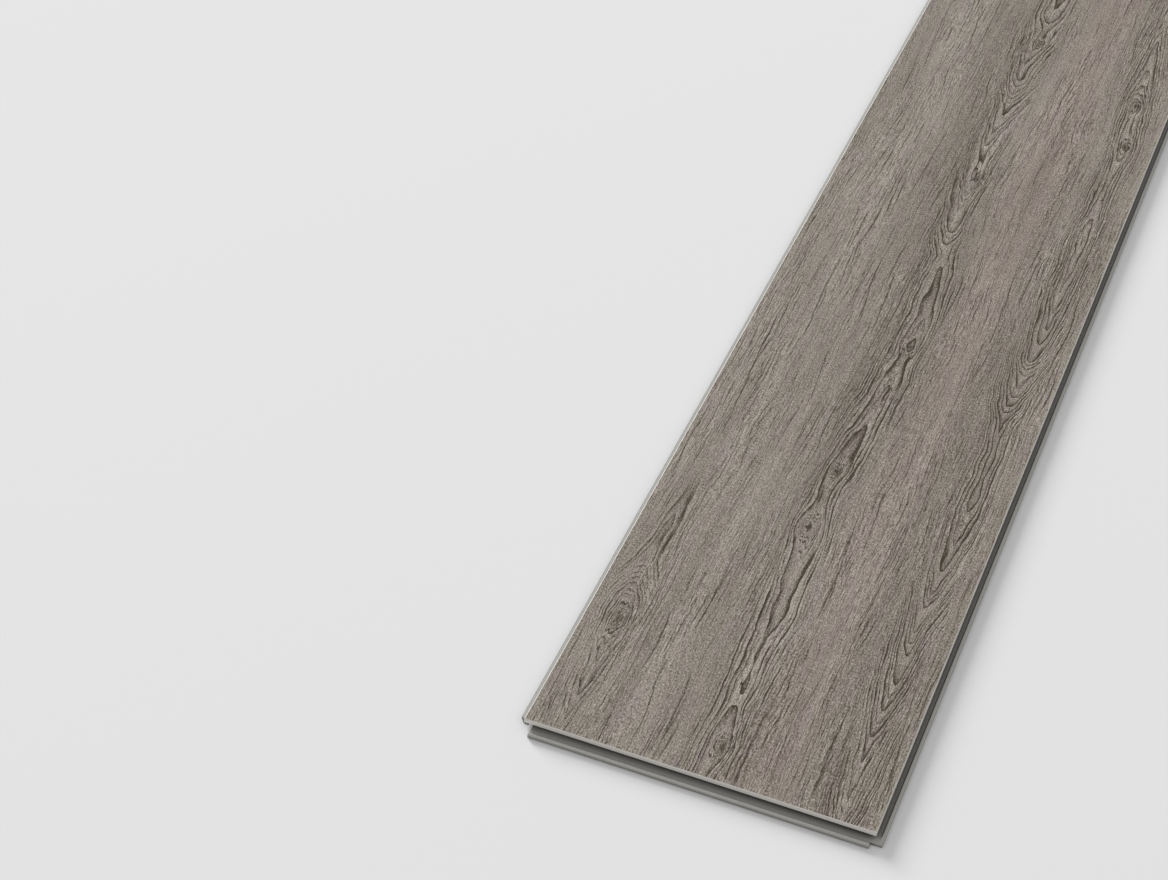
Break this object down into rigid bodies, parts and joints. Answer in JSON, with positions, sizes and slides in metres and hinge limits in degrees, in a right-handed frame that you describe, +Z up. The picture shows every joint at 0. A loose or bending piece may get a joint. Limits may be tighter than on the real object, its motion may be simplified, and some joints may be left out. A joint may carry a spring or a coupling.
{
  "type": "design floor plank",
  "caption": "Rigid floor plank with a printed, embossed grey-oak face and a click joint milled on all edges: tongues on one long side and one end, grooves with locking lower lips opposite.",
  "frame": {"origin": "on the underside, below the middle of the printed face between its joint lines", "axes": "+Z up through the printed face, +Y along the length from the groove end to the tongue end, +X across the width towards the groove side"},
  "size_m": [0.1865, 1.2281, 0.0065],
  "materials": {
    "plank": "matte"
  },
  "bodies": {
    "root": {"plank": "plank"}
  },
  "joints": []
}
